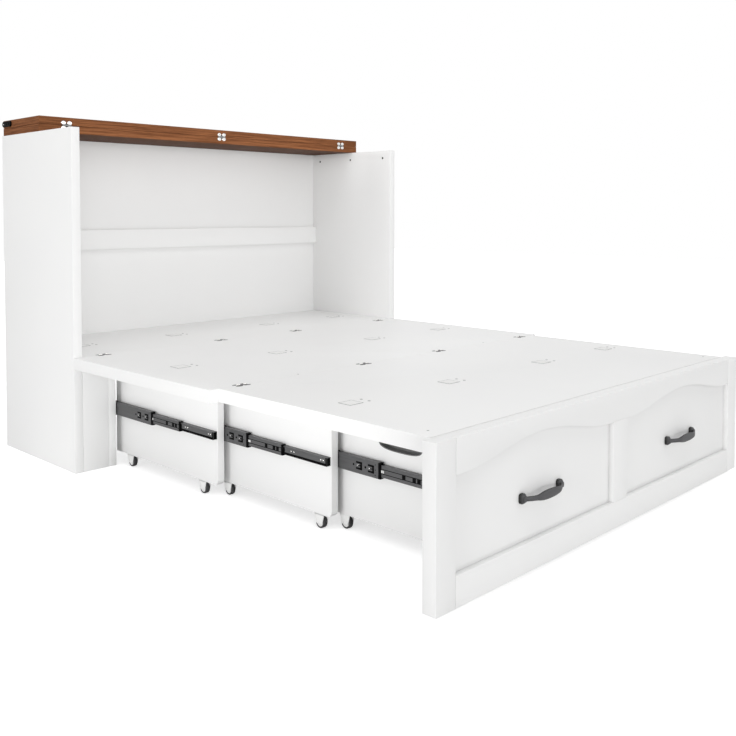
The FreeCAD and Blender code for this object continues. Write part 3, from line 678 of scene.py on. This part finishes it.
# each step of a foot is its rise from the panel, its width and height in mm, and how round it is
foot_wide = 20
foot_steps = ((0, foot_wide, 25, 0.5), (7.4, foot_wide, 25, 0.5), (8.7, 19, 23.8, 0.55),
              (12.0, 14.6, 17.6, 0.62), (14.5, 12, 13.8, 0.7))
for name in ("pull_left", "pull_right"):
    dress(name, powder)
    low, high = box_mm(name)
    middle_x = (low[0] + high[0]) / 2
    middle_z = (low[2] + high[2]) / 2
    half_length = (high[0] - low[0] - foot_wide) / 2
    whole = bmesh.new()
    bow = bmesh.new()
    rings = []
    for share, reach, tall in bow_row:
        centre = Vector((middle_x + share * half_length, high[1] - reach * bow_reach, middle_z)) / 1000
        rings.append(rounded_ring(bow, centre, Vector((0, 1, 0)), bow_thick, tall, bow_round))
    skin_rings(bow, rings)
    add_form(whole, bow, Matrix(), 0)
    for side in (-1, 1):
        foot = bmesh.new()
        rings = []
        for rise, wide, tall, power in foot_steps:
            centre = Vector((middle_x + side * half_length, high[1] - rise, middle_z)) / 1000
            rings.append(rounded_ring(foot, centre, Vector((1, 0, 0)), wide, tall, power))
        skin_rings(foot, rings)
        add_form(whole, foot, Matrix(), 0)
    finish_piece("cast_" + name, whole, [powder], "section_3", name)

# Caster forks: the same white nylon, moulded as a bridge with two cheeks and screwed under the sections.
# The axle is moulded through both cheeks, with a low button outside each.
wheel_wide = 16
fork_top = box_mm("section_1_forks")[1][2]
shoulder = fork_top - 4
bridge_under = fork_top - 2.5
bridge_half = 19
fork_half = 10.9
cheek_thick = 2.4
cheek_out = 9.7
cheek_half = 14
cheek_level = 19
cheek_drop = 7
cheek_ease = 0.6
bridge_ease = 0.4
cheek_arc = [math.pi * k / 16 for k in range(17)]
cheek_outline = [(-bridge_half, fork_top), (-bridge_half, shoulder)]
cheek_outline += [(-cheek_half * math.cos(t), cheek_level - cheek_drop * math.sin(t)) for t in cheek_arc]
cheek_outline += [(bridge_half, shoulder), (bridge_half, fork_top)]
axle_outline = [(0, -11.9), (3.2, -11.8), (4.2, -11.2), (4.2, -fork_half), (3, -fork_half), (3, fork_half),
                (4.2, fork_half), (4.2, 11.2), (3.2, 11.8), (0, 11.9)]
across = Matrix.Rotation(math.pi / 2, 4, "Y")


def caster_spot(name):
    # the middle of the left wheel of a pair
    low, high = box_mm(name + "_wheels")
    return low[0] + wheel_wide / 2, (low[1] + high[1]) / 2, (low[2] + high[2]) / 2


for number in (1, 2, 3):
    dress("section_%d_forks" % number, white_nylon)
    whole = bmesh.new()
    for where in ("rear", "front"):
        x, y, axle_level = caster_spot("section_%d_%s" % (number, where))
        for cheek in (-1, 1):
            for side in (1, -1):
                form = bmesh.new()
                face = form.faces.new([form.verts.new((0, u / 1000, v / 1000)) for u, v in cheek_outline])
                thicken(form, face, (cheek_thick / 1000, 0, 0))
                rims = [e for e in form.edges if abs(e.verts[0].co.x - e.verts[1].co.x) < 1e-7]
                round_edges(form, rims, cheek_ease, 2)
                bmesh.ops.recalc_face_normals(form, faces=form.faces)
                add_form(whole, form, mm(side * (x + cheek * cheek_out) - cheek_thick / 2, y, 0), 0)
        block(whole, (x, y, 0), (-fork_half, fork_half), (-bridge_half, bridge_half),
              (bridge_under, fork_top), bridge_ease, 0)
        for side in (1, -1):
            add_form(whole, lathe(axle_outline, 24), mm(side * x, y, axle_level) @ across, 0)
    finish_piece("moulded_section_%d_forks" % number, whole, [white_nylon], "section_%d" % number,
                 "section_%d_forks" % number)

# Caster wheels: grey polyurethane treads cast on nylon hubs, running loose on the axles.
# The tread picks up dust, so it is dull and uneven in patches of 5 mm.
tread, tree, _, _, tone = mottled_finish("dark_grey_polyurethane", 5, 3.0, "#2f2f30", "#4b4b4c")
urethane = put(tree, "ShaderNodeBsdfPrincipled", {"Roughness": 0.5, "IOR": 1.5},
               {"Base Color": tone.outputs[2]})
put(tree, "ShaderNodeOutputMaterial", {}, {"Surface": urethane.outputs["BSDF"]})
tyre_side = [(13, 7), (13.4, 7.8), (14.2, wheel_wide / 2), (16.2, 7.7), (17.5, 6.6), (18, 5)]
tyre_outline = [(r, -h) for r, h in tyre_side] + tyre_side[::-1] + [(13, -7)]
hub_side = [(3.4, 7.6), (6, 7.8), (6.6, 7), (12.9, 6.6)]
hub_outline = [(r, -h) for r, h in hub_side] + hub_side[::-1] + [(3.4, -7.6)]
for number in (1, 2, 3):
    for where in ("rear", "front"):
        name = "section_%d_%s" % (number, where)
        dress(name + "_wheels", tread)
        x, y, axle_level = caster_spot(name)
        whole = bmesh.new()
        for side in (1, -1):
            spot = mm(side * x, y, axle_level) @ across
            add_form(whole, lathe(tyre_outline, 48), spot, 0)
            add_form(whole, lathe(hub_outline, 32), spot, 1)
        finish_piece("cast_" + name + "_wheels", whole, [tread, white_nylon], name + "_axle",
                     name + "_wheels")

# Mattress pads: thin squares of soft white foam sheet, stuck to the platform, with two grip buttons each.
# The sheet is dull, with a fine closed-cell mottle drawn at 3 mm.
foam, tree, _, _, tone = mottled_finish("white_foam_sheet", 3, 2.0, "#ebebea", "#f3f3f2")
foam_skin = put(tree, "ShaderNodeBsdfPrincipled", {"Roughness": 0.75, "IOR": 1.45},
                {"Base Color": tone.outputs[2]})
put(tree, "ShaderNodeOutputMaterial", {}, {"Surface": foam_skin.outputs["BSDF"]})
# The pads' sides and a hem round their tops are painted grey as shade along the pads' edges, mottled at 2
# mm; the grip buttons and plugs take the same grey.
edge_shade_and_fitting_grey, tree, _, _, tone = mottled_finish("foam_edge_shade_and_fitting_grey", 2, 1.0, "#9c9c9c", "#b0b0b0")
edge_shade_skin = put(tree, "ShaderNodeBsdfPrincipled", {"Roughness": 0.7}, {"Base Color": tone.outputs[2]})
put(tree, "ShaderNodeOutputMaterial", {}, {"Surface": edge_shade_skin.outputs["BSDF"]})
pad_wide = 49
pad_left_edges = (-663, -264, 215, 614)
edge_shade_wide = 3
button_outline = [(0, 0), (4.4, 0), (4.4, 0.3), (3.6, 0.6), (0, 0.65)]
button_aside = 75
button_backs = (11, 40)
# small plugs cover two screws in each moving leaf, at x to both sides and at y, in mm
plug_outline = [(0, 0), (3.2, 0), (3.2, 0.2), (2.4, 0.4), (0, 0.45)]
pad_rows = (("mattress_pads_rear", "cabinet", []),
            ("mattress_pads_middle", "middle_leaf", [(-464, -230), (464, -230)]),
            ("mattress_pads_foot", "foot_leaf", [(-722, -967.5), (722, -967.5)]))
for name, body, plug_places in pad_rows:
    dress(name, foam)
    low, high = box_mm(name)
    whole = bmesh.new()
    for left in pad_left_edges:
        form = slab((pad_wide, high[1] - low[1], high[2] - low[2]))
        top = max(form.faces, key=lambda face: face.calc_center_median().z)
        bmesh.ops.inset_region(form, faces=[top], thickness=edge_shade_wide / 1000)
        middle = top.calc_center_median().copy()
        spot = mm(left + pad_wide / 2, (low[1] + high[1]) / 2, (low[2] + high[2]) / 2)
        # the sides and the hem take the grey of painted shade, and the field inside the hem takes the white
        # foam
        add_form(whole, form, spot, 1)
        field = min(whole.faces, key=lambda face: (face.calc_center_median() - spot @ middle).length)
        field.material_index = 0
        for back in button_backs:
            add_form(whole, lathe(button_outline, 16), mm(left + button_aside, high[1] - back, low[2]), 1)
    for x, y in plug_places:
        add_form(whole, lathe(plug_outline, 16), mm(x, y, low[2]), 1)
    finish_piece("pressed_" + name, whole, [foam, edge_shade_and_fitting_grey], body, name)

# The studio: a pale floor with a soft shadow, and a white room.
# The room and the floor read as plain white to the camera, and metal sees the same white.
floor_half = 14.0
floor_drop = 0.0005
floor_mesh = bpy.data.meshes.new("studio_floor")
sheet = bmesh.new()
bmesh.ops.create_grid(sheet, x_segments=1, y_segments=1, size=floor_half)
bmesh.ops.translate(sheet, verts=sheet.verts, vec=(0, 0, -floor_drop))
sheet.to_mesh(floor_mesh)
sheet.free()
floor = bpy.data.objects.new("studio_floor", floor_mesh)
bpy.context.scene.collection.objects.link(floor)
pale, tree = blank_finish("pale_studio_floor")
path = put(tree, "ShaderNodeLightPath", {}, {})
matt = put(tree, "ShaderNodeBsdfDiffuse", {"Color": linear("#f4f4f4")}, {})
place = put(tree, "ShaderNodeTexCoord", {}, {})
reach = put(tree, "ShaderNodeVectorMath", {"operation": "LENGTH"}, {0: place.outputs["Object"]})
far = put(tree, "ShaderNodeMapRange", {"From Min": 1.6, "From Max": 4.5, "To Min": 0.66, "To Max": 0.9},
          {"Value": reach.outputs["Value"]})
lift = put(tree, "ShaderNodeMath", {"operation": "MULTIPLY"},
           {0: path.outputs["Is Camera Ray"], 1: far.outputs["Result"]})
glow = put(tree, "ShaderNodeEmission", {"Color": linear("#ffffff")}, {"Strength": lift.outputs[0]})
laid = put(tree, "ShaderNodeAddShader", {}, {0: matt.outputs[0], 1: glow.outputs[0]})
put(tree, "ShaderNodeOutputMaterial", {}, {"Surface": laid.outputs[0]})
floor_mesh.materials.append(pale)

room = bpy.data.worlds.new("white_room")
room.use_nodes = True
tree = room.node_tree
tree.nodes.clear()
path = put(tree, "ShaderNodeLightPath", {}, {})
seen = put(tree, "ShaderNodeMath", {"operation": "MAXIMUM"},
           {0: path.outputs["Is Camera Ray"], 1: path.outputs["Is Glossy Ray"]})
seen_too = put(tree, "ShaderNodeMath", {"operation": "MAXIMUM"},
               {0: seen.outputs[0], 1: path.outputs["Is Transmission Ray"]})
level = put(tree, "ShaderNodeMapRange", {"To Min": 0.54, "To Max": 1.0}, {"Value": seen_too.outputs[0]})
air = put(tree, "ShaderNodeBackground", {"Color": linear("#ffffff")}, {"Strength": level.outputs["Result"]})
put(tree, "ShaderNodeOutputWorld", {}, {"Surface": air.outputs["Background"]})
bpy.context.scene.world = room


def softbox(name, spot, target, width, height, watts):
    lamp = bpy.data.lights.new(name, "AREA")
    lamp.shape = "RECTANGLE"
    lamp.size = width
    lamp.size_y = height
    lamp.energy = watts
    stand = bpy.data.objects.new(name, lamp)
    bpy.context.scene.collection.objects.link(stand)
    stand.location = spot
    stand.rotation_euler = (Vector(target) - Vector(spot)).to_track_quat("-Z", "Y").to_euler()
    stand.visible_camera = False


# Two wide lights far off to the left and in front, one overhead, and three small fills.
# The fills lift the inside of the cabinet, its head under the top, and the left side of the base.
bed_middle = (0, 0, 0.5)
softbox("left_softbox", (-24.5, -2.6, 2.4), bed_middle, 10.0, 3.6, 1540)
softbox("front_softbox", (-10.2, -28.1, 2.2), bed_middle, 18.0, 4.5, 1800)
softbox("top_softbox", (0.2, -1.7, 8.0), (0, -0.3, 0.3), 7.0, 7.0, 238)
softbox("cabinet_fill", (0.1, -0.6, 1.3), (-0.4, 1.05, 1.35), 1.2, 0.5, 1.4)
softbox("head_fill", (0.0, 0.66, 1.11), (0, 1.05, 1.05), 1.3, 0.05, 0.52)
softbox("base_fill", (-1.35, -0.72, 0.2), (-0.75, 0.48, 0.2), 0.5, 0.25, 1.4)

# The photograph's view: a long-ish lens a little under standing height, looking along the bed's diagonal.
# The frame is shifted down, because the verticals are kept upright.
photo_pixels = 736
focal_pixels = 887.8
shift_pixels = -120.64
lens = bpy.data.cameras.new("photo_view")
lens.sensor_width = 36.0
lens.lens = focal_pixels / photo_pixels * lens.sensor_width
lens.shift_y = shift_pixels / photo_pixels
lens.clip_end = 60.0
view = bpy.data.objects.new("photo_view", lens)
bpy.context.scene.collection.objects.link(view)
yaw = math.radians(45.676)
pitch = math.radians(2.205)
look = Vector((math.sin(yaw) * math.cos(pitch), math.cos(yaw) * math.cos(pitch), -math.sin(pitch)))
view.location = (-2.2334, -2.2551, 0.884)
view.rotation_euler = look.to_track_quat("-Z", "Y").to_euler()
bpy.context.scene.camera = view
bpy.context.scene.view_settings.view_transform = "Standard"
